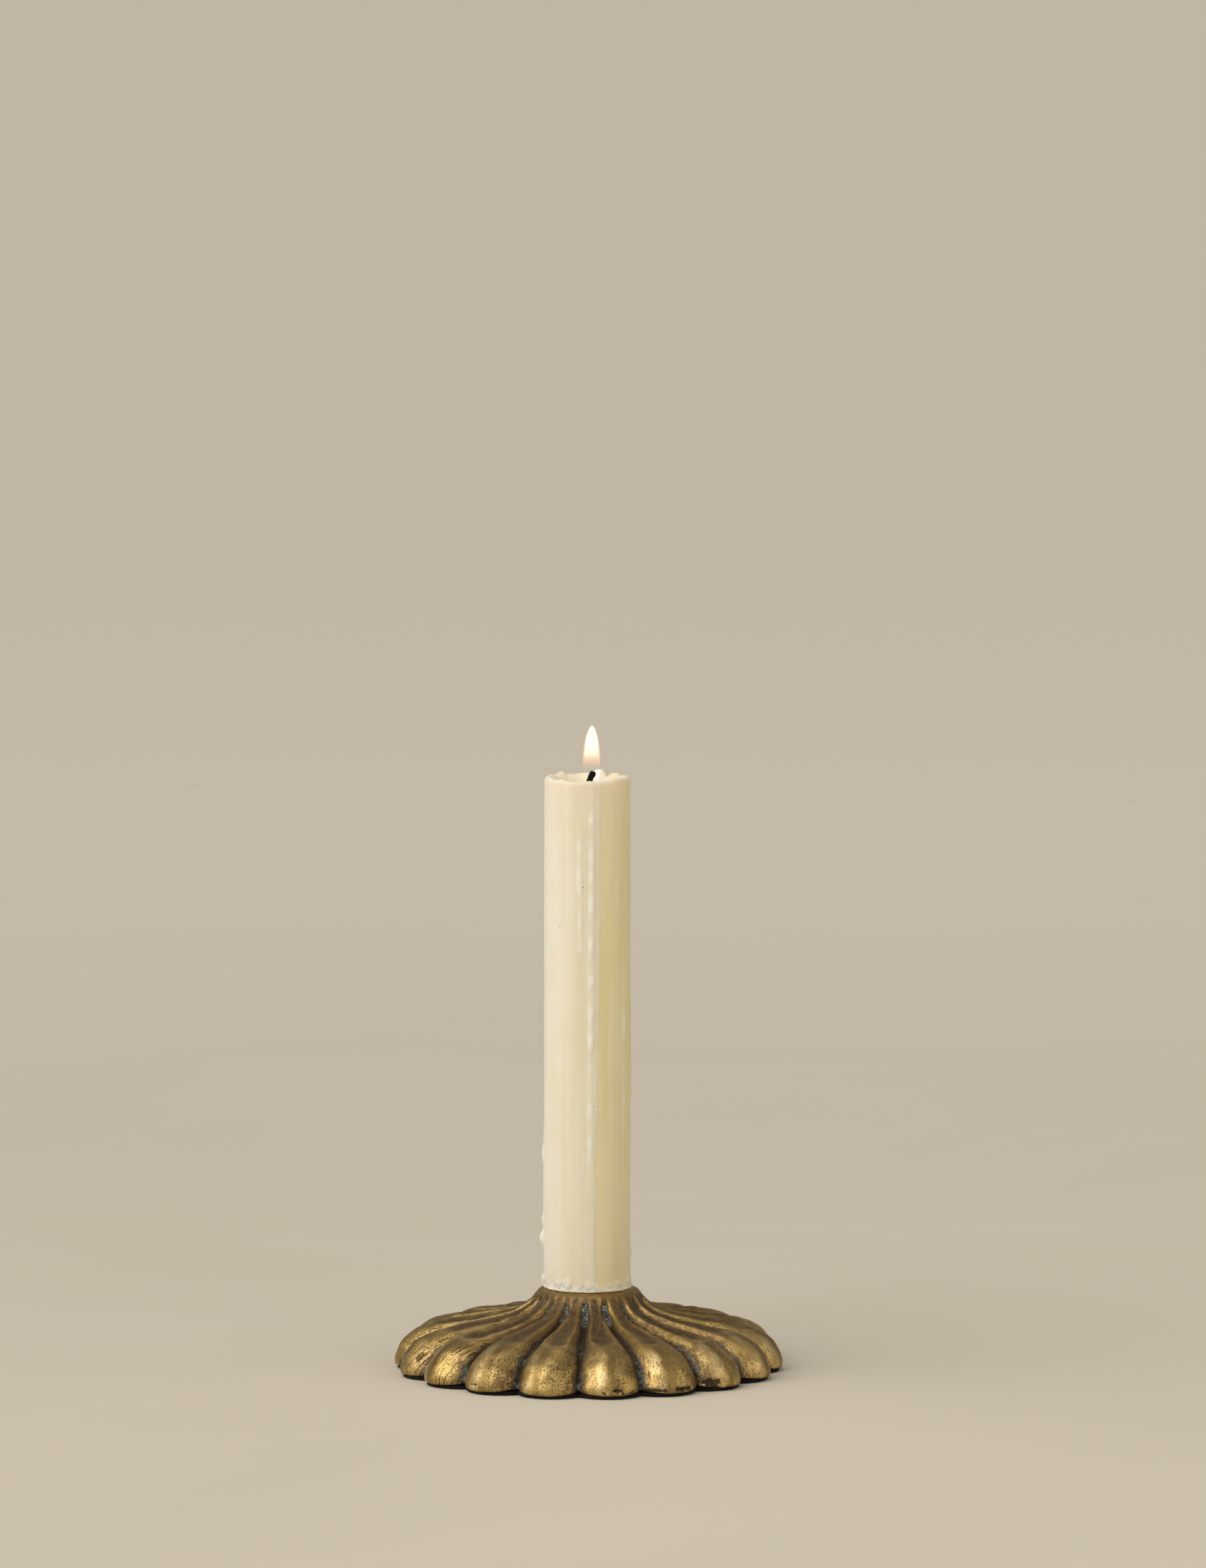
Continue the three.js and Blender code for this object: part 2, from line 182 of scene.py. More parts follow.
def grid_faces(rows, columns, close_rows=False):
    """Quads over rings of points counted row by row."""
    faces = []
    for row in range(rows if close_rows else rows - 1):
        below = (row + 1) % rows
        for column in range(columns):
            beside = (column + 1) % columns
            faces.append((row * columns + column, below * columns + column,
                          below * columns + beside, row * columns + beside))
    return faces


def capped_mesh(name, rings, start, end, going_down=False, attributes=None):
    """A closed mesh over rings of points that go up, or down, from the point start to the point end."""
    rings = np.asarray(rings)
    rows, columns = rings.shape[:2]
    points = [*rings.reshape(-1, 3), start, end]
    first, last = len(points) - 2, len(points) - 1
    end_ring = (rows - 1) * columns
    turn = 1 if going_down else -1
    faces = [face[::turn] for face in grid_faces(rows, columns)]
    for column in range(columns):
        beside = (column + 1) % columns
        faces.append((first, *(column, beside)[::turn]))
        faces.append((last, *(end_ring + beside, end_ring + column)[::turn]))
    return make_mesh(name, points, faces, attributes=attributes)


def finish_piece(piece, body, slot, material, *replaced):
    """Puts the piece on its body and in its material, in place of any replaced nodes. The slot is not used.
    """
    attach(piece, body)
    if replaced:
        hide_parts(*replaced)
    piece.data.materials.clear()
    piece.data.materials.append(material)
    return piece


# ---------------------------------------------------------------- the fluted casting

def lobe_radius(angle):
    """Radius of the scalloped outline at an angle from a lobe's centre."""
    centre = BASE_RADIUS - LOBE_ARC_RADIUS
    return centre * np.cos(angle) + np.sqrt(LOBE_ARC_RADIUS**2 - (centre * np.sin(angle)) ** 2)


def column_turns():
    """Lobes turned from the back valley for each column, closer together in the valleys."""
    share = np.arange(COLUMNS_PER_LOBE) / COLUMNS_PER_LOBE
    share = share - 0.42 * np.sin(2 * np.pi * share) / (2 * np.pi)
    return np.concatenate([lobe + share for lobe in range(LOBES)])


def column_angles():
    """Each column's angle, which starts at the back."""
    return (column_turns() / LOBES) * 2 * math.pi + math.pi


def crest_weight(radius, across):
    """From 0 in a valley to 1 on a lobe, at a radius and a place across the lobe from -1 to 1."""
    half_pitch = math.pi / LOBES
    valley = lobe_radius(half_pitch)
    arc = (lobe_radius(across * half_pitch) - valley) / (BASE_RADIUS - valley)
    off = np.abs(across)
    neck = 1 - smoothstep(0.40, 0.88, off)
    plateau = 1 - smoothstep(0.50, 0.98, off)
    inner = neck + (plateau - neck) * smoothstep(27 * MM, 42 * MM, radius)
    return inner + (arc - inner) * smoothstep(56 * MM, 77 * MM, radius)


def tongue_reach(across, radius, end):
    """1 at the rounded border of the dished tongue on a lobe's upper face, and less inside it."""
    past = np.maximum(0, radius - (end - 9 * MM)) / (9.5 * MM)
    return np.sqrt((across / 0.50) ** 2 + past**2)


def lobe_habits(turns):
    """What makes each lobe of a hand-finished casting its own, by column."""
    lobe = turns.astype(int)
    rng = np.random.default_rng(18)
    habits = {
        "tongue_end": 66.5 * MM + rng.uniform(-2.2, 1.4, LOBES)[lobe] * MM,
        "tongue_depth": 0.85 * MM * rng.uniform(0.75, 1.3, LOBES)[lobe],
        "tongue_lean": rng.uniform(-0.10, 0.10, LOBES)[lobe],
        "tongue_stain": 0.88 + 0.12 * np.sin(2.3 * lobe + 0.6),
        "facet": -0.06 + 0.16 * np.sin(2.6 * (lobe - 9) + 1.2),
    }
    pocket_fill = rng.uniform(0.25, 0.75, LOBES)
    pocket_fill[FRONT_POCKETS] = (0.60, 1.0, 0.92, 0.55)
    habits["pocket_fill"] = pocket_fill[np.round(turns).astype(int) % LOBES]
    habits["rubbing"] = rng.uniform(0.25, 1.0, LOBES)[lobe]
    return habits


def outward_of(crest):
    """The outward direction along a side profile, by row."""
    run = np.gradient(crest, axis=0)
    run /= np.linalg.norm(run, axis=1, keepdims=True)
    return np.stack([-run[:, 1], run[:, 0]], axis=-1)[:, None]


def fluted_rows():
    """The outside of the casting: points by row and column, and what the brass's finish needs to know."""
    last = len(CREST_PROFILE) - 1
    t = even_steps(lambda s: (spline(CREST_PROFILE, s) + spline(VALLEY_PROFILE, s)) / 2, last, OUTER_ROWS)
    turns = column_turns()
    lobe = turns.astype(int)
    own = lobe_habits(turns)
    across = np.broadcast_to(2 * (turns - lobe) - 1, (OUTER_ROWS, len(turns)))
    crest, valley = spline(CREST_PROFILE, t), spline(VALLEY_PROFILE, t)
    along = np.concatenate([[0], np.cumsum(np.linalg.norm(np.diff(crest, axis=0), axis=1))])
    radius = np.broadcast_to(np.maximum.accumulate(crest[:, 0])[:, None], across.shape)
    down = np.broadcast_to(along[:, None], across.shape)
    around = np.broadcast_to(column_angles(), across.shape)
    place = loop_place(around, down / (30 * MM))
    fine = np.stack([np.cos(around) * radius, np.sin(around) * radius, down], axis=-1)
    fluted = smoothstep(1.5 * MM, 6 * MM, down)
    clear_of_edge = 1 - smoothstep(0.90, 0.97, down / along[-1])

    # The lobes wander a little, each with its dished tongue above and a groove down its face
    bent = across + 0.11 * noise(place, 0.22, 3) * (1 - across**2) * fluted * clear_of_edge
    weight = crest_weight(radius, bent)
    reach = tongue_reach(bent + own["tongue_lean"], radius, own["tongue_end"])
    start = smoothstep(29 * MM, 44 * MM, radius)
    dish = (1 - smoothstep(0.45, 1.12, reach)) * start
    ridge = bump(reach, 1.16, 0.20) * start * (1 - smoothstep(69 * MM, 74 * MM, radius))
    face = smoothstep(65 * MM, 73 * MM, radius)
    # The groove down each face, where the brass also darkens its film as a painted dark reflection
    stripe = bump(bent, own["facet"], 0.13) * face
    # Where a painted highlight runs down the left part of each face
    highlight_band = bump(bent, own["facet"] - 0.34, 0.22) * face
    lift = -own["tongue_depth"] * dish + 0.12 * MM * ridge - 0.24 * MM * stripe * clear_of_edge

    # Soft unevenness of the wax pattern, a hammered look on the lobes, and a worn, chipped edge
    lift += 0.30 * MM * noise(place, 0.16, 5) * fluted
    lift += (0.10 * MM * noise(fine, 3.2 * MM, 6) + 0.045 * MM * noise(fine, 1.3 * MM, 7)) * clear_of_edge
    profile = valley[:, None] + weight[..., None] * (crest - valley)[:, None]
    profile = profile + lift[..., None] * outward_of(crest)
    edge_droop = 0.22 * MM * noise(place, 0.045, 8) * (1 - clear_of_edge)
    chipped, chip = edge_chips(around, radius, profile[..., 1], fine)
    profile = profile + np.stack([-chipped, edge_droop], axis=-1)

    pocket = smoothstep(0.25, 0.85, 1 - weight) * smoothstep(3.5 * MM, 7 * MM, down)
    tongue = (1 - smoothstep(0.15, 1.40, reach)) * smoothstep(0.5 * MM, 5 * MM, down)
    facts = {
        "valley": (1 - weight) * smoothstep(0.5 * MM, 5.5 * MM, down),
        "tongue": tongue * own["tongue_stain"],
        "ridge": ridge * own["rubbing"],
        "stripe": stripe,
        "highlight_band": highlight_band,
        "pocket": pocket * (1 - smoothstep(30 * MM, 38 * MM, radius)) * own["pocket_fill"],
        "chip": chip,
        "side": bent,
        "height": profile[..., 1] / (SEAT_Z - CASTING_Z),
        "lobe": np.broadcast_to(lobe_from_front(lobe), across.shape),
        "skin": np.stack([around * 60 * MM, down, 0 * around], axis=-1),
    }
    return polar_points(profile[..., 0], around, profile[..., 1] + CASTING_Z), facts


def lobe_from_front(lobe):
    """Numbers the lobes from the front valley, from 0 towards +X and from -1 towards -X."""
    return lobe - LOBES // 2


def polar_points(radius, angle, height):
    """Points at a radius, at an angle from -Y towards +X, and at a height."""
    return np.stack([radius * np.sin(angle), -radius * np.cos(angle), height], axis=-1)


def edge_chips(around, radius, height, place):
    """How deep the chips along the lower edge bite, by place, and how near to one's middle a place is."""
    depth, near = np.zeros_like(height), np.zeros_like(height)
    ragged = 0.42 * noise(place, 1.6 * MM, 9) + 0.26 * noise(place, 0.7 * MM, 10)
    for degrees, level, half_width, half_height, bite in EDGE_CHIPS:
        away = (around - math.radians(degrees) + math.pi) % (2 * math.pi) - math.pi
        reach = np.hypot(away * radius / (half_width * MM), (height - level * MM) / (half_height * MM))
        depth += bite * MM * (1 - smoothstep(0.82, 1.06, reach + ragged))
        near = np.maximum(near, np.clip(1.6 - reach - 0.5 * ragged, 0, 1))
    return depth, near


def rings_of(profile, angle):
    """Plain rows of revolution, from (radius, height) pairs."""
    rings = [polar_points(radius, angle, np.full_like(angle, height)) for radius, height in profile]
    return np.array(rings)


def seat_profile():
    """From the shank's hole, up round the flange's recess and over the seat to the neck's edge."""
    recess_z = SEAT_Z - FLANGE_RECESS
    flange = SPIKE_HIGH.x + FLANGE_GAP
    return [
        (SHANK_HOLE, recess_z), (flange - 0.1 * MM, recess_z), (flange, recess_z + 0.1 * MM),
        (flange, SEAT_Z - 0.25 * MM), (flange + 0.2 * MM, SEAT_Z), (12 * MM, SEAT_Z), (17 * MM, SEAT_Z),
        (19.2 * MM, SEAT_Z), (19.6 * MM, SEAT_Z - 0.05 * MM), (19.88 * MM, SEAT_Z - 0.22 * MM),
    ]


def hollow_profile():
    """From the casting's lower edge, up its hollow and in to the shank's hole."""
    floor_z = SEAT_Z - FLANGE_RECESS - NECK_FLOOR
    wall = [(radius * MM, CASTING_Z + height * MM) for radius, height in HOLLOW_PROFILE]
    return [*wall, (NECK_FLAT, floor_z), (SHANK_HOLE + 0.1 * MM, floor_z)]


def build_casting(material):
    """The brass casting: the fluted outside, joined to its seat above and its hollow beneath."""
    outer, facts = fluted_rows()
    inner = rings_of(seat_profile(), column_angles())
    under = rings_of(hollow_profile(), column_angles())
    attributes = {}
    for label, values in facts.items():
        first, last = np.zeros_like(values[:1]), np.zeros_like(values[:1])
        if label == "skin":
            first, last = values[:1], values[-1:]
        top = np.repeat(first, len(inner), axis=0)
        bottom = np.repeat(last, len(under), axis=0)
        values = np.concatenate([top, values, bottom])
        attributes[label] = values.reshape(-1, 3) if label == "skin" else values.ravel()
    rows = np.concatenate([inner, outer, under])
    faces = grid_faces(len(rows), rows.shape[1], close_rows=True)
    piece = make_mesh("fluted_casting", rows.reshape(-1, 3), faces, attributes=attributes)
    return finish_piece(piece, "holder", "brass", material, "base_casting")


# ---------------------------------------------------------------- the candle

CANDLE_COLUMNS = 360
WALL_ROWS = 228
FOOT_ROWS = 26
FOOT_HEIGHT = 12 * MM
SPIKE_HOLE = 2.6 * MM  # radius at the foot
SPIKE_HOLE_TOP = 21 * MM
WELL_DEPTH = 6 * MM
# The candle stands a little off the casting's centre, as one pressed on by hand does
LEAN_X = -0.4 * MM

# Runs of wax down the candle, in mm: (degrees round, top above the foot, bottom above the foot,
# half width, thickness, heights of the beads on it). The wide ones are thin sheets under the narrow ones.
WAX_RUNS = [
    (4.5, 230, 84, 4.2, 0.20, ()), (8.6, 228, 106, 1.6, 0.44, (208, 192, 183, 171, 153, 137, 122, 112)),
    (6.5, 112, 56, 1.4, 0.25, (98, 81, 66)), (-6.5, 204, 150, 1.5, 0.20, (196, 184, 177, 163)),
    (-20, 216, 30, 2.6, 0.12, ()), (-38, 120, -5, 1.6, 0.12, ()), (-59, 232, 90, 1.8, 0.2, ()),
    (37, 215, 6, 2.2, 0.16, ()), (49, 190, 20, 1.2, 0.14, ()), (61, 150, 70, 1.8, 0.12, (84, 118)),
    (91, 128, 84, 3.0, 0.7, (96,)), (86, 30, 5, 2.6, 0.45, (16,)), (-86, 70, 20, 1.9, 0.6, (30,)),
    (-104, 210, 130, 1.5, 0.5, (200, 178, 160, 142)),
    (128, 232, 60, 1.7, 0.6, (220, 190, 150, 122, 94, 68)),
    (150, 232, 20, 4.0, 0.4, ()), (158, 232, 145, 1.4, 0.6, (210, 196, 176, 158, 150)),
    (-140, 232, 96, 1.5, 0.55, (214, 190, 160, 131, 104)), (-165, 120, 10, 2.4, 0.4, (66, 24)),
    (176, 70, -5, 1.6, 0.5, (52, 31, 14)), (-120, 60, 4, 1.8, 0.4, (42, 12)), (112, 48, 8, 2.2, 0.5, (18,)),
]
# The ivory sheet that covers the front and left ends at this edge: (degrees round, height above the foot)
SHEET_EDGE = [(13, 0), (13.5, 60), (16, 78), (18, 120), (19, 150), (21, 165), (20, 195), (21.5, 232)]
SHEET_BACK = -100  # where it ends on the left, in degrees round
SHEET_THICKNESS = 0.24  # mm
# Lumps where wax has set on the wall or the foot: (degrees round, height above the foot, radius, thickness)
WAX_LUMPS = [
    (-87, 21, 4.4, 1.3), (-88, 3.0, 3.2, 1.4), (-24, 4.0, 2.4, 0.35), (4, 3.4, 2.0, 0.3),
    (74, 3.6, 2.4, 0.5), (-87, 59, 4.8, 0.7), (118, 3.2, 2.6, 0.9), (-150, 3.4, 3.0, 1.0),
    (170, 2.8, 2.2, 0.6), (20, 150, 1.6, 0.3), (20.5, 139, 1.2, 0.25),
]
# Humps and dips of the melted rim: (degrees round, half width in degrees, height in mm)
WHITE_HUMP = (165.5, 7.4, 1.75)
RIM_HUMPS = [
    WHITE_HUMP, (-134, 8, 1.1), (-110, 7, 0.4), (139, 7.5, 0.7), (152.5, 3.5, -1.1), (126, 3, -1.0),
    (110, 7, 0.5), (-66, 10, 0.5), (60, 12, 0.4), (24, 14, -0.5), (-15, 11, -0.7), (2, 6, -0.4),
    (-172, 10, 0.2), (88, 5, -0.4),
]
# Over the rim, down the melted well and across its floor, in mm: (inwards from the wall, down from the rim)
CROWN_PROFILE = [
    (0.12, 0.8), (0.4, 0.3), (0.9, 0.06), (1.5, 0.0), (2.1, 0.25), (2.8, 0.9), (3.5, 1.8), (4.4, 2.9),
    (5.4, 3.9), (6.8, 4.8), (8.5, 5.5), (12.0, 5.9), (17.0, 6.0),
]


def degrees_apart(angle, degrees):
    """Signed distance in degrees from an angle in radians to a direction."""
    return (np.degrees(angle) - degrees + 180) % 360 - 180


def wall_mm(degrees):
    """Millimetres round the candle's wall for an angle in degrees."""
    return degrees * math.pi / 180 * CANDLE_RADIUS / MM


def sheet_cover(angle, height):
    """From 0 on bare wax to 1 where the ivory sheet covers it."""
    degrees, levels = zip(*SHEET_EDGE)
    edge = np.interp(height / MM, levels, degrees)
    line = np.stack([0 * height, 0 * height, height / (9 * MM)], axis=-1)
    edge = edge + 0.9 * noise(line, 1.0, 36)
    signed = degrees_apart(angle, 0)
    inside, past_back = wall_mm(edge - signed), wall_mm(signed - SHEET_BACK)
    return smoothstep(-0.55, 0.75, inside) * smoothstep(-1, 6, past_back)


def wall_relief(angle, height):
    """How far the wall stands out from its plain cylinder, how frosted it is, and the sheet's cover."""
    out = 0.20 * MM * noise(loop_place(angle, height / (110 * MM)), 0.6, 31)
    streaks = loop_place(angle, height / (700 * MM))
    out = out + 0.07 * MM * noise(streaks, 0.13, 32) + 0.02 * MM * noise(streaks, 0.05, 33)
    cover = sheet_cover(angle, height)
    out = out + (cover - 0.5) * SHEET_THICKNESS * MM
    frost = np.zeros_like(out)
    level = height / MM
    for degrees, top, bottom, half_width, thickness, beads in WAX_RUNS:
        line = np.stack([0 * height, 0 * height + degrees, height / (16 * MM)], axis=-1)
        shift = 0.5 * noise(line, 1.0, 34)
        width = half_width * (1 + 0.28 * noise(line, 0.35, 35))
        away = wall_mm(degrees_apart(angle, degrees)) + shift
        inside = np.clip(1 - (away / width) ** 2, 0, 1) ** 1.2
        ends = smoothstep(bottom - 1.5, bottom + 1.2, level) * (1 - smoothstep(top - 6, top + 6, level))
        swell = (0.45 if beads else 0.8) + 0 * level
        for rank, bead in enumerate(beads):
            swell = swell + 1.35 * bump(level, bead, 2.0 + 2.6 * (rank * 0.618 % 1))
        swell = swell + 0.6 * bump(level, bottom + 2.5, 2.8) * (len(beads) > 0)
        out = out + thickness * MM * inside * ends * swell
        whiteness = np.clip(0.3 * (len(beads) > 0) + 0.5 * (swell - 0.6), 0, 1)
        frost = np.maximum(frost, inside * ends * whiteness)
    for degrees, middle, radius, thickness in WAX_LUMPS:
        away = wall_mm(degrees_apart(angle, degrees))
        reach = np.hypot(away, level - middle) / radius
        out = out + thickness * MM * np.clip(1 - reach**2, 0, 1) ** 1.1
    return out, frost, cover


def foot_crust(angle, height):
    """The crusted ring of spilt wax at the candle's foot: thickness and share."""
    round_place = loop_place(angle, 0)
    edge = 4.0 * MM + 2.2 * MM * noise(round_place, 0.34, 41) + 1.1 * MM * noise(round_place, 0.09, 42)
    lumpy = loop_place(angle, height / CANDLE_RADIUS)
    edge = edge + 0.7 * MM * noise(lumpy, 0.04, 45)
    share = 1 - smoothstep(edge - 1.1 * MM, edge + 0.5 * MM, height)
    thick = 0.20 * MM + 0.30 * MM * noise(lumpy, 0.10, 43) + 0.16 * MM * noise(lumpy, 0.045, 44)
    flare = 0.85 + 0.45 * noise(round_place, 0.16, 46) + 0.40 * noise(round_place, 0.05, 47)
    spread = 0.8 * MM * (1 - smoothstep(0, 1.5 * MM, height)) * np.maximum(flare, 0)
    return share * np.maximum(thick, 0) + spread, share


def hump(away, half_width):
    """A rounded block of height 1: fuller than bump."""
    return np.exp(-np.abs(away / half_width) ** 3)


def rim_height(angle):
    """The melted rim's height above its plain level."""
    lift = 0 * angle
    for degrees, half_width, rise in RIM_HUMPS:
        lift = lift + rise * MM * hump(degrees_apart(angle, degrees), half_width)
    around = loop_place(angle, 0)
    lift = lift + 0.26 * MM * noise(around, 0.22, 51) + 0.30 * MM * noise(around, 0.09, 52)
    return lift + 0.16 * MM * noise(around, 0.04, 54)


def candle_foot(angle, edge):
    """The candle's underside, from the top of the spike's hole out to the wall's radius."""
    hole = [(0.9 * MM, SPIKE_HOLE_TOP - 0.4 * MM), (SPIKE_HOLE, 0.3 * MM), (SPIKE_HOLE + 0.3 * MM, 0.0)]
    profile = [*hole, (18.2 * MM, 0.0), (edge - 0.5 * MM, 0.0)]
    return rings_of([(radius, WAX_LOW.z + height) for radius, height in profile], angle)


def candle_crown(angle, edge, rise):
    """The melted rim and the well inside it, from the wall's radius inwards."""
    rings = []
    for inward, drop in CROWN_PROFILE:
        kept = 1 - smoothstep(1.5, 6.5, inward)
        lump = np.stack([np.cos(angle) * inward, np.sin(angle) * inward, 0 * angle], axis=-1)
        z = RIM_Z - drop * MM + rise * kept + 0.32 * MM * noise(lump, 1.1, 53) * min(1, inward / 3)
        rings.append(polar_points(np.maximum(edge - inward * MM, 1.6 * MM), angle, z))
    return np.array(rings)


def build_candle(material):
    """The wax column, with what it carries on its wall, foot and rim."""
    angle = np.arange(CANDLE_COLUMNS) / CANDLE_COLUMNS * 2 * math.pi
    length = RIM_Z - WAX_LOW.z
    heights = np.concatenate([
        np.linspace(0.5 * MM, FOOT_HEIGHT, FOOT_ROWS, endpoint=False),
        np.linspace(FOOT_HEIGHT, length - 1.6 * MM, WALL_ROWS),
    ])
    around, level = np.meshgrid(angle, heights)
    relief, frost, cover = wall_relief(around, level)
    crust, crusted = foot_crust(around, level)
    rise = rim_height(angle)
    radius = CANDLE_RADIUS - 0.12 * MM + relief + crust
    lifted = WAX_LOW.z + level + rise * smoothstep(length - 14 * MM, length, level)
    foot = candle_foot(angle, radius[0])
    crown = candle_crown(angle, radius[-1], rise)
    rows = np.concatenate([foot, polar_points(radius, around, lifted), crown])
    rows[..., 0] += LEAN_X * smoothstep(0, 1, (rows[..., 2] - WAX_LOW.z) / (6 * MM))

    def spread(values, foot_value, crown_values):
        before = np.full((len(foot), CANDLE_COLUMNS), foot_value)
        after = np.broadcast_to(crown_values, (len(crown), CANDLE_COLUMNS))
        return np.concatenate([before, values, after]).ravel().tolist() + [foot_value, 0.2]

    top_share = smoothstep(length - 34 * MM, length, level)
    whitened = hump(degrees_apart(angle, WHITE_HUMP[0]), 1.4 * WHITE_HUMP[1])
    frost = np.maximum(frost, whitened * smoothstep(length - 7 * MM, length - 2 * MM, level))
    attributes = {
        "frost": spread(frost, 0.0, 0.08 + 0.92 * whitened), "crust": spread(crusted, 0.6, 0.15),
        "warm": spread(top_share * (1 - whitened), 0.0, 0.25 - 0.25 * whitened),
        "sheet": spread(cover, 0.0, 1.0),
    }
    start, end = (0, 0, WAX_LOW.z + SPIKE_HOLE_TOP), (0, 0, RIM_Z - WELL_DEPTH)
    piece = capped_mesh("pillar_candle", rows, start, end, attributes=attributes)
    return finish_piece(piece, "candle", "wax", material, "candle_wax")


def tube_along(name, path, radii, sides, twist=0.0, ragged=0.0):
    """A closed tube through the points, with its own radius at each."""
    rings = []
    for i, centre in enumerate(path):
        ahead = path[min(i + 1, len(path) - 1)] - path[max(i - 1, 0)]
        side = ahead.cross(Vector((0, 1, 0))).normalized()
        other = ahead.cross(side).normalized()
        ring = []
        for k in range(sides):
            turn = 2 * math.pi * k / sides + twist * i
            rough = 1 + ragged * math.sin(5 * turn + 1.7 * i) * math.cos(2.3 * i + k)
            ring.append(centre + radii[i] * rough * (side * math.cos(turn) + other * math.sin(turn)))
        rings.append(ring)
    return capped_mesh(name, rings, path[0], path[-1])


STEM_STEPS = 60  # up through the wax
TIP_STEPS = 25  # from the pool to the charred tip


def build_wick(material):
    """Braided cotton up the middle of the candle, charred where it leans out of the pool."""
    tip = Vector((WICK_HIGH.x - 0.6 * MM, 0, WICK_HIGH.z))
    pool = Vector((0, 0, POOL_HIGH.z))
    path, radii = [], []
    for i in range(STEM_STEPS):
        path.append(Vector((0, 0, WICK_LOW.z)).lerp(pool, i / STEM_STEPS))
        radii.append(1.05 * MM)
    for i in range(TIP_STEPS + 1):
        share = i / TIP_STEPS
        lean = share**1.15
        path.append(Vector((tip.x * lean, 0, pool.z + (tip.z - pool.z) * share)))
        swelling = 0.32 * smoothstep(0.05, 0.4, share) - 0.42 * share**12 + 0.10 * math.sin(9 * share)
        radii.append(float(1.0 + swelling) * MM)
    piece = tube_along("cotton_wick", path, radii, 24, twist=0.22, ragged=0.18)
    return finish_piece(piece, "candle", "wick", material, "candle_wick")


POOL_COLUMNS = 96


def build_pool(material):
    """Molten wax round the wick, creeping up it and the well's wall a little."""
    angle = np.arange(POOL_COLUMNS) / POOL_COLUMNS * 2 * math.pi
    surface = POOL_HIGH.z
    outer = POOL_HIGH.x + 1.2 * MM
    rings = []
    for radius, height in [
        (1.5 * MM, POOL_LOW.z), (outer - 2.5 * MM, POOL_LOW.z), (outer, surface - 0.1 * MM),
        (outer, surface + 0.25 * MM), (outer - 0.5 * MM, surface + 0.08 * MM), (outer - 1.5 * MM, surface),
        (6 * MM, surface), (3 * MM, surface), (2.0 * MM, surface + 0.12 * MM),
        (1.5 * MM, surface + 0.5 * MM),
    ]:
        wave = 1 + 0.02 * np.sin(3 * angle + 1) if radius > 8 * MM else 1
        rings.append(polar_points(radius * wave, angle, np.full_like(angle, height)))
    faces = [face[::-1] for face in grid_faces(len(rings), POOL_COLUMNS, close_rows=True)]
    piece = make_mesh("molten_pool", np.array(rings).reshape(-1, 3), faces)
    return finish_piece(piece, "candle", "molten_wax", material, "wax_pool")


# The flame's width, as a share of its full one, by how far up it is
FLAME_RISE = [0, 0.15, 0.32, 0.5, 0.6, 0.67, 0.76, 0.84, 0.89, 0.93, 0.97, 1]
FLAME_WIDTH = [1.0, 0.99, 0.96, 0.89, 0.82, 0.76, 0.64, 0.51, 0.41, 0.31, 0.17, 0.03]
FLAME_X = (FLAME_LOW.x + FLAME_HIGH.x) / 2
FLAME_LEAN = 0.25 * MM  # how far the tip stands to the right
FLAME_COLUMNS = 48
FLAME_STEPS = 44


def flame_shell(name, share, low_share, glow):
    """One nested shell of the flame: share scales its width, low_share says how far up it starts."""
    full = (FLAME_HIGH.x - FLAME_LOW.x) / 2
    height = FLAME_HIGH.z - FLAME_LOW.z
    angle = np.arange(FLAME_COLUMNS) / FLAME_COLUMNS * 2 * math.pi
    steps = np.linspace(0, 1, FLAME_STEPS)[:-1]
    rings = []
    for up, width in zip(steps, np.interp(steps, FLAME_RISE, FLAME_WIDTH)):
        level = FLAME_LOW.z + height * (low_share + (1 - low_share) * up * (0.93 + 0.07 * share))
        ring = polar_points(full * share * width, angle, np.full_like(angle, level))
        rings.append(ring + np.array([FLAME_X + FLAME_LEAN * up**2, 0, 0]))
    start = (FLAME_X, 0, rings[0][0, 2])
    end = (FLAME_X + FLAME_LEAN, 0, rings[-1][0, 2] + 0.2 * MM)
    heights = np.concatenate([np.array(rings)[..., 2].ravel(), [start[2], end[2]]])
    piece = capped_mesh(name, rings, start, end, attributes={"rise": (heights - FLAME_LOW.z) / height})
    return finish_piece(piece, "candle", "flame", glow)


def build_flame():
    """Four shells, as many as a ray can cross both sides of, and a small lamp in the middle."""
    rosy, peach, cream = (1.0, 0.50, 0.30), (1.0, 0.66, 0.40), (1.0, 0.95, 0.78)
    outer = flame_shell("flame_outer", 1.02, 0.0, flame_glow("flame_edge", -0.04, 0.34, 0.24, rosy, peach))
    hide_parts("flame")
    veil = flame_glow("flame_veil", 0.05, 0.46, 0.34, peach, (1.0, 0.80, 0.54))
    flame_shell("flame_veil", 0.94, 0.05, veil)
    body = flame_glow("flame_body", 0.13, 0.52, 0.56, peach, (1.0, 0.90, 0.70))
    flame_shell("flame_middle", 0.86, 0.13, body)
    heart = flame_glow("flame_heart", 0.26, 0.60, 0.97, (1.0, 0.82, 0.56), cream, 2.6)
    flame_shell("flame_core", 0.76, 0.24, heart)
    data = bpy.data.lights.new("flame_light", "POINT")
    data.energy = 0.005
    data.color = (1.0, 0.78, 0.54)
    data.shadow_soft_size = 3 * MM
    glow = bpy.data.objects.new("flame_light", data)
    glow.location = (FLAME_X, 0, FLAME_LOW.z + 8 * MM)
    bpy.context.scene.collection.objects.link(glow)
    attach(glow, "candle")


# ---------------------------------------------------------------- the felt

# The pad's cut edge, as (share of the thickness down, mm inwards)
FELT_EDGE = [(0.0, 0.5), (0.06, 0.15), (0.3, 0.0), (0.6, 0.02), (0.9, 0.06), (0.97, 0.2), (1.0, 0.6)]
FELT_RINGS = (20 * MM, 60 * MM)  # radii of rings on the flat faces


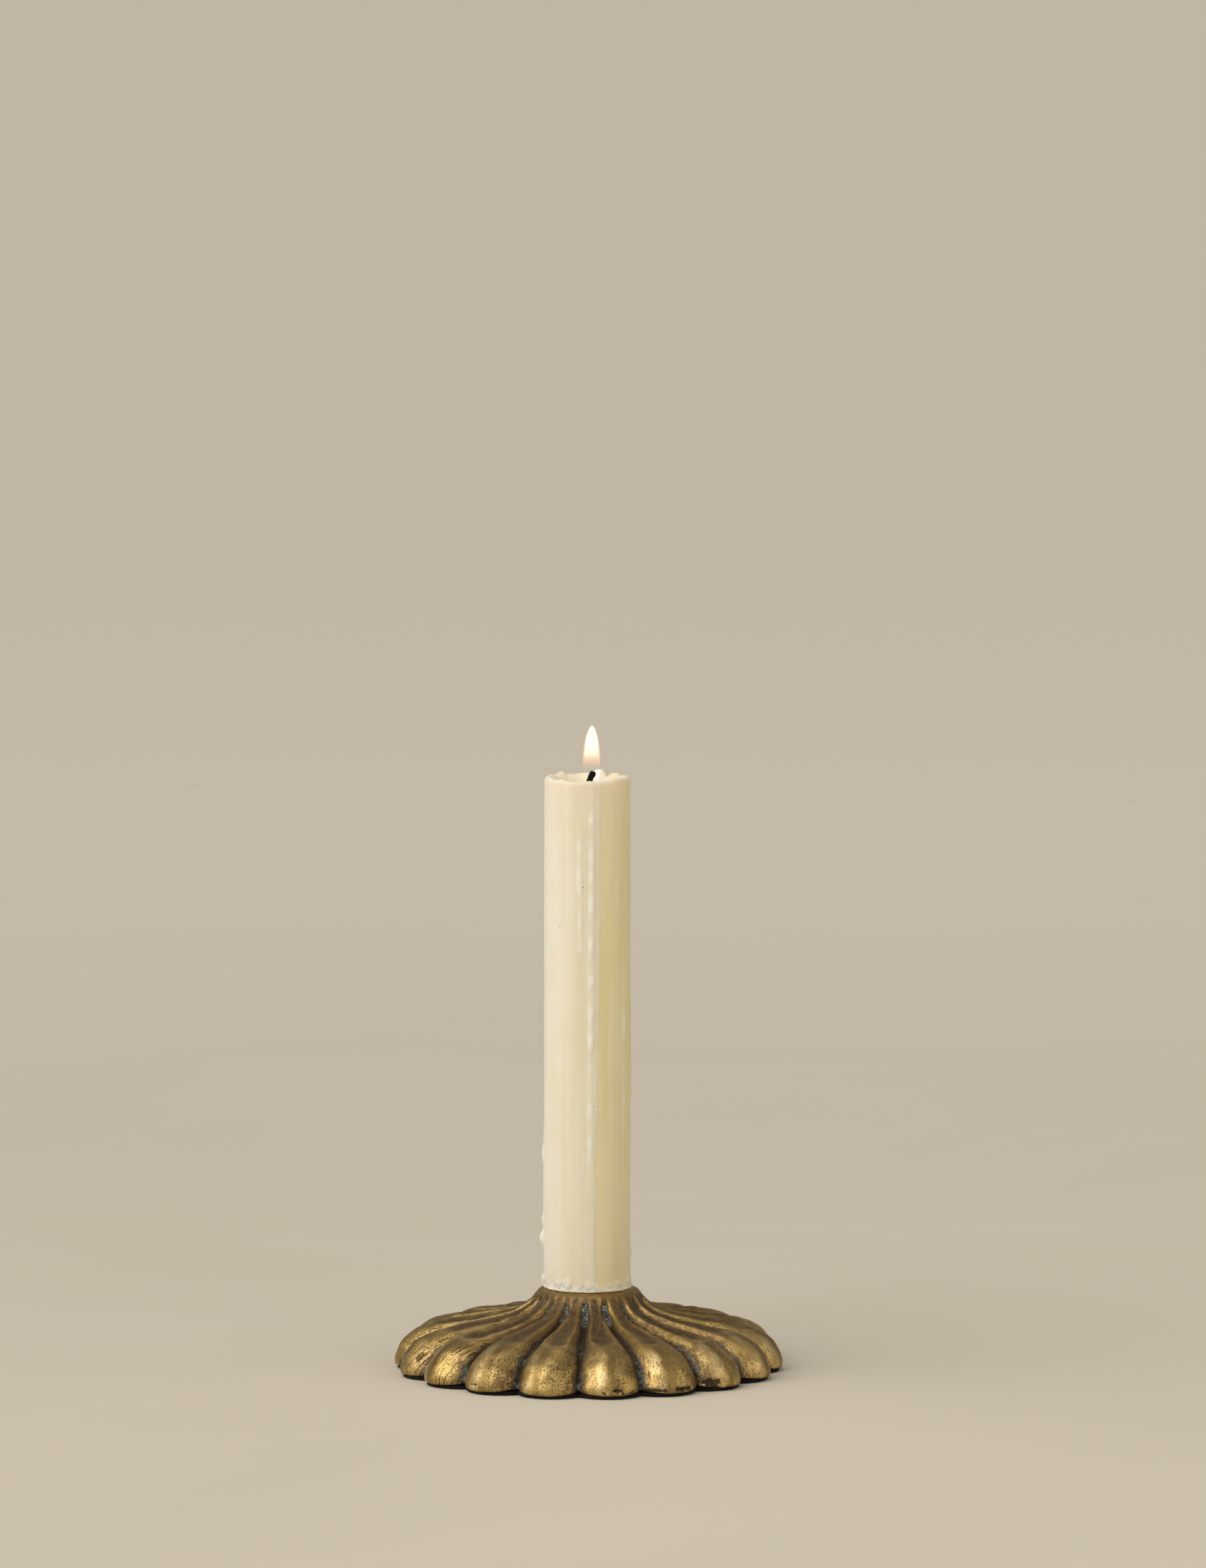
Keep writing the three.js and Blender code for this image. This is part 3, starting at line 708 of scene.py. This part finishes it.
def build_felt(material):
    """Pressed felt under the casting: the same scallops, with a slightly fuzzy cut edge."""
    angle = column_angles()
    across = (2 * (column_turns() % 1) - 1) * math.pi / LOBES
    outline = lobe_radius(across) - (BASE_HIGH.x - FELT_HIGH.x)
    edge = []
    for drop, inset in FELT_EDGE:
        z = FELT_HIGH.z + (FELT_LOW.z - FELT_HIGH.z) * drop
        place = loop_place(angle, 3 * drop)
        fuzz = (0.22 * noise(place, 0.012, 61) + 0.30 * noise(place, 0.08, 62) - 0.25) * MM * (0 < drop < 1)
        edge.append(polar_points(outline - inset * MM + fuzz, angle, np.full_like(angle, z)))
    top = rings_of([(radius, FELT_HIGH.z) for radius in FELT_RINGS], angle)
    under = rings_of([(radius, FELT_LOW.z) for radius in reversed(FELT_RINGS)], angle)
    rings = np.concatenate([top, edge, under])
    piece = capped_mesh("felt_sole", rings, (0, 0, FELT_HIGH.z), (0, 0, FELT_LOW.z), going_down=True)
    return finish_piece(piece, "holder", "felt", material, "felt_pad")


# ---------------------------------------------------------------- materials

class Shader:
    """A node material under construction. Sockets and plain numbers can be given alike."""

    def __init__(self, name):
        self.material = bpy.data.materials.new(name)
        self.material.use_nodes = True
        self.tree = self.material.node_tree
        self.tree.nodes.clear()
        self.output = self.tree.nodes.new("ShaderNodeOutputMaterial")

    def node(self, kind, inputs=None, **settings):
        made = self.tree.nodes.new("ShaderNode" + kind)
        for name, value in settings.items():
            setattr(made, name, value)
        for name, value in (inputs or {}).items():
            self.give(made.inputs[name], value)
        return made

    def give(self, socket, value):
        if isinstance(value, bpy.types.NodeSocket):
            self.tree.links.new(value, socket)
        elif isinstance(value, tuple) and len(value) == 3 and socket.type == "RGBA":
            socket.default_value = (*value, 1)
        else:
            socket.default_value = value

    def math(self, operation, a, b=0.0):
        return self.node("Math", {0: a, 1: b}, operation=operation).outputs[0]

    def sum(self, first, *others):
        for other in others:
            first = self.math("ADD", first, other)
        return first

    def product(self, first, *others):
        for other in others:
            first = self.math("MULTIPLY", first, other)
        return first

    def centred(self, value, strength):
        """Noise about 0.5 turned into noise about 0."""
        return self.math("MULTIPLY", self.math("SUBTRACT", value, 0.5), strength)

    def mix(self, share, a, b):
        """From colour a to colour b."""
        return self.node("Mix", {0: share, 6: a, 7: b}, data_type="RGBA").outputs[2]

    def blend(self, share, a, b):
        """From number a to number b."""
        return self.node("Mix", {0: share, 2: a, 3: b}, data_type="FLOAT").outputs[0]

    def step(self, value, low, high, to_low=0.0, to_high=1.0):
        """A soft step between low and high."""
        return self.node("MapRange", {0: value, 1: low, 2: high, 3: to_low, 4: to_high},
                         interpolation_type="SMOOTHSTEP").outputs[0]

    def fact(self, name, vector=False):
        made = self.node("Attribute", attribute_name=name)
        return made.outputs["Vector" if vector else "Fac"]

    def place(self):
        return self.node("TexCoord").outputs["Object"]

    def stretched(self, vector, scale, turn=0.0):
        if turn:
            vector = self.node("Mapping", {"Vector": vector, "Rotation": (0, 0, turn)}).outputs[0]
        return self.node("Mapping", {"Vector": vector, "Scale": scale}).outputs[0]

    def noise(self, vector, scale, detail=3.0, rough=0.5, twist=0.0):
        return self.node("TexNoise", {
            "Vector": vector, "Scale": scale, "Detail": detail, "Roughness": rough, "Distortion": twist,
        }).outputs[0]

    def bump(self, height, distance, strength=1.0, normal=None):
        inputs = {"Height": height, "Distance": distance, "Strength": strength}
        if normal:
            inputs["Normal"] = normal
        return self.node("Bump", inputs).outputs[0]

    def finish(self, surface):
        """Ends the material with that surface."""
        self.tree.links.new(surface.outputs[0], self.output.inputs["Surface"])
        return self.material

    def principled(self, inputs):
        """Ends the material with a principled surface."""
        return self.finish(self.node("BsdfPrincipled", inputs))


def antique_brass():
    """Satin brass: golden where rubbing wears it and with a painted highlight down each face, brown in the
    dishes, with painted shade in the valley creases and towards the top, and grey-green in the pockets.
    """
    s = Shader("antique_brass")
    place, skin = s.place(), s.fact("skin", vector=True)
    valley, tongue, ridge = s.fact("valley"), s.fact("tongue"), s.fact("ridge")
    pocket, side = s.fact("pocket"), s.fact("side")
    height, lobe = s.fact("height"), s.fact("lobe")
    stripe, highlight_band = s.fact("stripe"), s.fact("highlight_band")
    # Towards the top, where the film and patina grow, partly as painted shade on the upward faces
    shaded_top = s.step(height, 0.40, 0.62)

    broad = s.noise(place, 55, 3, 0.55)
    cloud = s.noise(place, 170, 4, 0.6)
    mottle = s.noise(place, 520, 5, 0.7, 0.5)
    grain = s.noise(place, 2100, 3, 0.65)
    ragged = s.sum(s.centred(cloud, 0.7), s.centred(mottle, 0.8), s.centred(grain, 0.5))
    chip = s.step(s.sum(s.fact("chip"), s.centred(mottle, 2.0), s.centred(cloud, 1.5)), 0.66, 0.76)

    # Brushing: fine streaks down the lobes, slanting strokes, and coarse scratches on the left lobes
    streak = s.noise(s.stretched(skin, (2300, 150, 1)), 1, 2, 0.6)
    slant = s.noise(s.stretched(skin, (1700, 85, 1), math.radians(-9)), 1, 2, 0.6)
    on_left = s.product(s.step(lobe, -5.6, -5.4), s.step(lobe, -2.6, -2.4, 1.0, 0.0))
    on_right = s.product(s.step(lobe, 0.4, 0.6), s.step(lobe, 5.4, 5.6, 1.0, 0.0))
    lower = s.step(height, 0.56, 0.44)
    scratched = s.product(on_left, s.step(slant, 0.565, 0.615), s.step(side, -0.45, 0.05), lower)
    scratched = s.math("MAXIMUM", scratched, s.product(on_right, s.step(streak, 0.62, 0.70), lower, 0.7))

    # Bare metal, lighter where rubbed on the ridges and, as a painted highlight, down the left part of each
    # face
    golden = s.mix(s.step(broad, 0.35, 0.65), (0.56, 0.385, 0.135), (0.66, 0.47, 0.19))
    # Painted highlight: the left window's reflection, put into the colour down each face
    painted_highlight = s.product(highlight_band, s.step(s.sum(cloud, s.centred(streak, 0.8)), 0.34, 0.58))
    wear_and_highlight = s.step(s.sum(s.product(ridge, 0.7), painted_highlight, s.centred(mottle, 0.9)), 0.25, 0.8)
    golden = s.mix(s.product(wear_and_highlight, 0.62), golden, (0.90, 0.70, 0.38))
    # The olive-brown film over most of it: tarnish, thickened towards the top as painted shade and along
    # each face's groove as a painted dark reflection
    film = s.step(s.sum(s.centred(broad, 1.0), s.centred(cloud, 1.1), s.centred(mottle, 0.9),
                        s.centred(streak, 0.7), s.product(shaded_top, 0.36),
                        s.product(stripe, 0.55)), -0.26, 0.40)
    film = s.product(film, s.blend(wear_and_highlight, 0.72, 0.22))
    golden = s.mix(film, golden, (0.215, 0.135, 0.045))

    # Brown patina in the dishes, on the neck's ribs and down the valleys; more of it towards the top,
    # partly patina and partly painted shade on the upward faces
    covered = s.math("MAXIMUM", s.product(tongue, 0.96), s.math("POWER", valley, 1.1))
    covered = s.sum(covered, s.product(shaded_top, 0.17))
    covered = s.sum(covered, ragged, s.centred(slant, 1.3), s.centred(streak, 0.5), s.centred(broad, 0.9))
    brown = s.step(covered, 0.24, 0.90)
    patina = s.mix(s.step(mottle, 0.36, 0.66), (0.065, 0.040, 0.025), (0.205, 0.135, 0.078))
    patina = s.mix(s.step(slant, 0.56, 0.66, 0.0, 0.42), patina, (0.36, 0.235, 0.09))
    colour = s.mix(s.product(brown, 0.90), golden, patina)

    # Painted shade along each valley's crease, with a blue-grey bloom low in the notches
    crease_shade = s.step(s.sum(valley, s.centred(mottle, 0.45), s.centred(cloud, 0.3)), 0.60, 0.92)
    crease_shade = s.product(crease_shade, s.step(height, 0.80, 0.60))
    colour = s.mix(s.product(crease_shade, 0.86), colour, (0.040, 0.028, 0.020))
    low = s.product(s.step(valley, 0.58, 0.88), s.step(height, 0.60, 0.30), s.step(cloud, 0.44, 0.58))
    colour = s.mix(s.product(low, s.step(mottle, 0.40, 0.58), 0.75), colour, (0.27, 0.295, 0.285))

    # Grey-green salts in the pockets under the neck
    verdigris = s.step(s.sum(s.product(pocket, 1.1), ragged), 0.42, 0.78)
    green = s.mix(s.step(mottle, 0.40, 0.62), (0.022, 0.021, 0.018), (0.120, 0.122, 0.100))
    green = s.mix(s.step(s.noise(place, 1300, 2, 0.8), 0.58, 0.63), green, (0.62, 0.62, 0.55))
    colour = s.mix(verdigris, colour, green)

    # Pits gather on the right halves of the lobes
    gathered = s.product(s.step(side, -0.22, 0.42), s.step(s.noise(place, 95, 2, 0.5), 0.32, 0.54),
                         s.step(height, 0.60, 0.45))
    crowd = s.product(gathered, s.blend(on_left, 0.155, 0.04))
    small = s.step(s.sum(s.noise(place, 2300, 1, 0.4), crowd), 0.64, 0.75)
    large = s.step(s.sum(s.noise(place, 1350, 0, 0.5), crowd), 0.73, 0.83)
    pitted = s.math("MAXIMUM", small, large)
    colour = s.mix(s.product(pitted, 0.72), colour, (0.070, 0.042, 0.025))
    colour = s.mix(s.product(scratched, 0.86), colour, (0.070, 0.040, 0.020))
    colour = s.mix(s.step(grain, 0.56, 0.70, 0.0, 0.45), colour, (0.12, 0.075, 0.035))
    colour = s.mix(s.product(chip, 0.92), colour,
                   s.mix(s.step(grain, 0.42, 0.60), (0.010, 0.006, 0.005), (0.060, 0.036, 0.022)))

    dull = s.math("MAXIMUM", s.product(brown, 0.5), s.math("MAXIMUM", verdigris, crease_shade))
    rough = s.sum(s.blend(dull, 0.36, 0.62), s.centred(mottle, 0.22), s.product(film, 0.10),
                  s.product(s.math("MAXIMUM", pitted, chip), 0.22))
    metal = s.math("SUBTRACT", 1.0, s.product(s.math("MAXIMUM", verdigris, chip), 0.75))
    relief = s.sum(
        s.product(mottle, 0.22), s.product(grain, 0.10), s.product(streak, 0.09),
        s.product(slant, 0.08), s.product(pitted, -0.30), s.product(scratched, -0.26),
        s.product(verdigris, grain, -0.5),
    )
    return s.principled({
        "Base Color": colour, "Roughness": rough, "Metallic": metal,
        "Specular IOR Level": s.blend(chip, 0.5, 0.1), "Normal": s.bump(relief, 0.9 * MM, 0.8),
    })


def simple_metal(name, colour, roughness):
    """Plain metal with a faint cloudiness."""
    s = Shader(name)
    cloud = s.noise(s.place(), 900, 4, 0.6)
    tone = s.mix(cloud, tuple(0.8 * c for c in colour), colour)
    rough = s.blend(cloud, roughness - 0.08, roughness + 0.12)
    return s.principled({
        "Base Color": tone, "Roughness": rough, "Metallic": 1.0, "Normal": s.bump(cloud, 0.05 * MM, 0.5),
    })


def candle_wax():
    """Ivory wax: translucent, satin, frosted where it has run and crusted white at the foot, with a painted
    sheen whitening its left side.
    """
    s = Shader("ivory_wax")
    place = s.place()
    frost, crust, warm, sheet = s.fact("frost"), s.fact("crust"), s.fact("warm"), s.fact("sheet")
    bands = s.noise(s.stretched(place, (1, 1, 0.05)), 150, 2, 0.5)
    cloud = s.noise(place, 45, 3, 0.55)
    speck = s.noise(place, 1500, 2, 0.6)
    ivory = s.mix(s.step(bands, 0.35, 0.65), (0.775, 0.71, 0.53), (0.82, 0.77, 0.62))
    # Painted sheen: the left side of the wax is whiter, as where the left window lights it
    rightwards = s.node("SeparateXYZ", {0: place}).outputs["X"]
    ivory = s.mix(s.step(rightwards, -CANDLE_RADIUS, -0.3 * CANDLE_RADIUS), (0.81, 0.77, 0.665), ivory)
    olive = s.mix(s.step(bands, 0.38, 0.62), (0.79, 0.69, 0.385), (0.83, 0.735, 0.475))
    colour = s.mix(sheet, olive, ivory)
    colour = s.mix(s.step(cloud, 0.45, 0.7, 0.0, 0.3), colour, (0.75, 0.68, 0.45))
    colour = s.mix(s.product(frost, 0.85), colour, (0.88, 0.86, 0.79))
    colour = s.mix(s.step(frost, 0.85, 1.0, 0.0, 0.9), colour, (0.77, 0.80, 0.83))
    colour = s.mix(s.product(warm, 0.36), colour, (0.86, 0.735, 0.57))
    white = s.product(crust, s.step(s.noise(place, 480, 4, 0.6), 0.36, 0.58, 0.15, 0.95))
    chalk = s.mix(s.step(s.noise(place, 1100, 3, 0.7), 0.38, 0.60), (0.58, 0.56, 0.50), (0.83, 0.82, 0.775))
    colour = s.mix(s.product(white, 0.8), colour, chalk)
    dots = s.product(crust, s.step(speck, 0.61, 0.66))
    freckles = s.step(s.noise(place, 820, 0, 0.5), 0.885, 0.91)
    colour = s.mix(s.product(s.math("MAXIMUM", dots, freckles), 0.75), colour, (0.26, 0.22, 0.14))
    rough = s.sum(s.blend(cloud, 0.36, 0.52), s.product(s.math("MAXIMUM", frost, crust), 0.12))
    relief = s.sum(s.product(bands, 0.4), s.product(s.noise(place, 700, 3, 0.6), 0.22),
                   s.product(crust, speck, 1.3))
    return s.principled({
        "Base Color": colour, "Roughness": rough, "Normal": s.bump(relief, 0.25 * MM, 0.6), "IOR": 1.44,
        "Subsurface Weight": 0.8, "Subsurface Radius": (1.0, 0.72, 0.42), "Subsurface Scale": 2.6 * MM,
    })


def molten_wax():
    """Clear yellow wax, wet and glossy."""
    s = Shader("molten_wax")
    tone = s.mix(s.noise(s.place(), 120, 2, 0.5), (0.88, 0.74, 0.42), (0.93, 0.82, 0.52))
    return s.principled({
        "Base Color": tone, "Roughness": 0.06, "IOR": 1.44,
        "Subsurface Weight": 0.9, "Subsurface Radius": (1.0, 0.6, 0.25), "Subsurface Scale": 5 * MM,
    })


def charred_cotton():
    """Near-black braid."""
    s = Shader("charred_cotton")
    braid = s.noise(s.stretched(s.place(), (1, 1, 0.5)), 2600, 3, 0.7)
    tone = s.mix(s.step(braid, 0.4, 0.7), (0.002, 0.002, 0.002), (0.012, 0.010, 0.008))
    return s.principled({
        "Base Color": tone, "Roughness": 0.9, "Specular IOR Level": 0.2,
        "Normal": s.bump(braid, 0.3 * MM, 1.0),
    })


def black_felt():
    """Near-black fibres with hardly any sheen."""
    s = Shader("black_felt")
    fibres = s.noise(s.place(), 1900, 5, 0.7, 1.2)
    tone = s.mix(fibres, (0.003, 0.003, 0.003), (0.012, 0.011, 0.010))
    return s.principled({
        "Base Color": tone, "Roughness": 0.95, "Specular IOR Level": 0.2,
        "Sheen Weight": 0.04, "Sheen Roughness": 0.5, "Normal": s.bump(fibres, 0.4 * MM, 0.9),
    })


def flame_glow(name, low, high, solid, low_colour, high_colour, strength=1.15):
    """Glowing gas: clear and rosy up to low, then brighter and as solid as it gets above high."""
    s = Shader(name)
    rise = s.fact("rise")
    colour = s.mix(s.step(rise, low, high), low_colour, high_colour)
    light = s.node("Emission", {"Color": colour, "Strength": strength})
    clear = s.node("BsdfTransparent")
    share = s.product(s.step(rise, low, high), solid)
    return s.finish(s.node("MixShader", {0: share, 1: clear.outputs[0], 2: light.outputs[0]}))


# ---------------------------------------------------------------- stage

CAMERA_DISTANCE = 3.85
CAMERA_ROUND = math.radians(3.2)
CAMERA_ABOVE = math.radians(9.45)
CAMERA_TILT = math.radians(5.647)
CAMERA_ASIDE = math.radians(0.097)
LENS = 200.2


def make_camera():
    """A long lens a little above the foot, looking slightly down."""
    data = bpy.data.cameras.new("camera")
    data.lens = LENS
    data.sensor_width = 36
    data.clip_end = 3000
    camera = bpy.data.objects.new("camera", data)
    flat = CAMERA_DISTANCE * math.cos(CAMERA_ABOVE)
    camera.location = (
        flat * math.sin(CAMERA_ROUND), -flat * math.cos(CAMERA_ROUND),
        CASTING_Z + CAMERA_DISTANCE * math.sin(CAMERA_ABOVE),
    )
    camera.rotation_euler = (math.pi / 2 - CAMERA_TILT, 0, CAMERA_ROUND - CAMERA_ASIDE)
    bpy.context.scene.collection.objects.link(camera)
    bpy.context.scene.camera = camera


def plaster():
    """Pale warm ground, lighter further back as painted light that evens out the lamps' fall-off."""
    s = Shader("pale_plaster")
    place = s.place()
    broad = s.noise(place, 2.2, 4, 0.55, 0.6)
    small = s.noise(place, 26, 5, 0.6)
    tone = s.mix(s.step(broad, 0.3, 0.7), (0.66, 0.60, 0.49), (0.69, 0.625, 0.52))
    # Painted light: the ground grows lighter with distance, to even out the lamps' fall-off
    away = s.node("SeparateXYZ", {0: place}).outputs["Y"]
    tone = s.mix(s.step(away, 0.1, 2.5), tone, (0.80, 0.735, 0.61))
    tone = s.mix(s.step(small, 0.62, 0.8, 0.0, 0.12), tone, (0.58, 0.52, 0.43))
    return s.principled({
        "Base Color": tone, "Roughness": 0.75, "Normal": s.bump(small, 0.3 * MM, 0.4),
    })


def make_floor():
    reach = 1000
    corners = [(-reach, -reach, 0), (reach, -reach, 0), (reach, reach, 0), (-reach, reach, 0)]
    floor = make_mesh("floor", corners, [(0, 1, 2, 3)], smooth=False)
    floor.data.materials.append(plaster())


def area_light(name, place, target, width, height, watts, colour):
    data = bpy.data.lights.new(name, "AREA")
    data.shape = "RECTANGLE"
    data.size, data.size_y = width, height
    data.energy = watts
    data.color = colour
    light = bpy.data.objects.new(name, data)
    light.location = place
    light.rotation_euler = (Vector(target) - Vector(place)).to_track_quat("-Z", "Y").to_euler()
    bpy.context.scene.collection.objects.link(light)
    return light


def make_lights():
    """A soft sky, a window on the left, a fill on the right and a dim warm room."""
    data = bpy.data.lights.new("soft_sky", "SUN")
    data.energy = 1.7
    data.angle = math.radians(70)
    data.color = (1.0, 0.97, 0.93)
    sky = bpy.data.objects.new("soft_sky", data)
    sky.rotation_euler = (math.radians(40), 0, math.radians(-50))
    bpy.context.scene.collection.objects.link(sky)
    area_light("left_window", (-1.45, -0.95, 0.85), (0, 0, 0.5), 2.0, 1.9, 13, (1.0, 0.98, 0.94))
    area_light("right_fill", (1.42, -0.80, 0.85), (0, 0, 0.5), 2.1, 1.7, 9.5, (1.0, 0.95, 0.87))
    world = bpy.data.worlds.new("studio")
    world.use_nodes = True
    background = world.node_tree.nodes["Background"]
    background.inputs["Color"].default_value = (1.0, 0.95, 0.86, 1)
    background.inputs["Strength"].default_value = 0.27
    bpy.context.scene.world = world


bpy.context.scene.view_settings.view_transform = "Standard"
make_camera()
make_floor()
make_lights()
build_casting(antique_brass())
build_felt(black_felt())
build_candle(candle_wax())
build_wick(charred_cotton())
build_pool(molten_wax())
steel = simple_metal("zinc_plated_steel", (0.60, 0.60, 0.58), 0.36)
for part in ("bottom_plate", "plate_screw_1", "plate_screw_2", "plate_screw_3", "pricket_spike",
             "spike_washer", "spike_spring_washer", "spike_nut"):
    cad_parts[part].data.materials.clear()
    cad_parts[part].data.materials.append(steel)

build_flame()
